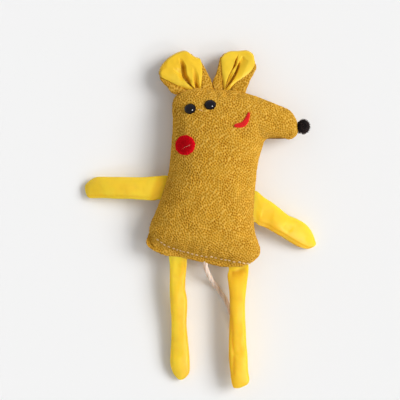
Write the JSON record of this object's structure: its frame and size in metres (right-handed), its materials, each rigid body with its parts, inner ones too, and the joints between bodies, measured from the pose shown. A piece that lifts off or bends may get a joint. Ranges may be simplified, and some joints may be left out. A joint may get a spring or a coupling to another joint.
{
  "type": "stuffed mouse cat toy",
  "caption": "Small stuffed mouse toy for cats: flat sewn trunk with a long snout, lined ears, soft arms and legs that fold at the seam, bead eyes, pompom nose and a knotted cord tail.",
  "frame": {"origin": "in the flat patch of the back that the toy lies on", "axes": "+X towards the snout, +Y from the legs to the ears, +Z out of the belly, away from the surface that the toy lies on"},
  "size_m": [0.1195, 0.176, 0.025],
  "materials": {
    "terry": "mustard terry knit, matt",
    "satin": "yellow polyester satin, soft sheen",
    "wadding": "white polyester fibre",
    "bead": "polished black",
    "yarn": "black clipped yarn",
    "felt": "red felt, matt",
    "cotton": "pale pink-beige twisted cotton cord"
  },
  "bodies": {
    "trunk": {"body_front_panel": "terry", "body_back_panel": "terry", "body_fill": "wadding", "left_eye_bead": "bead", "right_eye_bead": "bead", "nose_pompom": "yarn", "cheek_patch": "felt", "mouth_patch": "felt", "tail_cord": "cotton", "tail_knot": "cotton"},
    "left_ear": {"left_ear_outer": "terry", "left_ear_lining": "satin"},
    "right_ear": {"right_ear_outer": "terry", "right_ear_lining": "satin"},
    "left_arm": {"left_arm_cover": "satin", "left_arm_fill": "wadding"},
    "right_arm": {"right_arm_cover": "satin", "right_arm_fill": "wadding"},
    "left_leg": {"left_leg_cover": "satin", "left_leg_fill": "wadding"},
    "right_leg": {"right_leg_cover": "satin", "right_leg_fill": "wadding"}
  },
  "joints": [
    {"name": "left_ear_fold", "type": "hinge", "parent": "trunk", "child": "left_ear", "pos_m": [-0.00333, 0.05946, 0.011], "axis": [0.9988, 0.0487, 0], "range_deg": [0, 95]},
    {"name": "right_ear_fold", "type": "hinge", "parent": "trunk", "child": "right_ear", "pos_m": [0.01267, 0.059, 0.011], "axis": [0.9951, -0.0993, 0], "range_deg": [0, 95]},
    {"name": "left_arm_fold", "type": "hinge", "parent": "trunk", "child": "left_arm", "pos_m": [-0.02307, 0.00667, 0.011], "axis": [0.3043, 0.9526, 0], "range_deg": [0, 100]},
    {"name": "right_arm_fold", "type": "hinge", "parent": "trunk", "child": "right_arm", "pos_m": [0.02639, -0.00353, 0.011], "axis": [-0.0443, -0.999, 0], "range_deg": [0, 100]},
    {"name": "left_leg_fold", "type": "hinge", "parent": "trunk", "child": "left_leg", "pos_m": [-0.01465, -0.0309, 0.011], "axis": [-0.9886, 0.1503, 0], "range_deg": [0, 80]},
    {"name": "right_leg_fold", "type": "hinge", "parent": "trunk", "child": "right_leg", "pos_m": [0.0171, -0.03567, 0.011], "axis": [-0.9885, -0.1514, 0], "range_deg": [0, 80]}
  ]
}
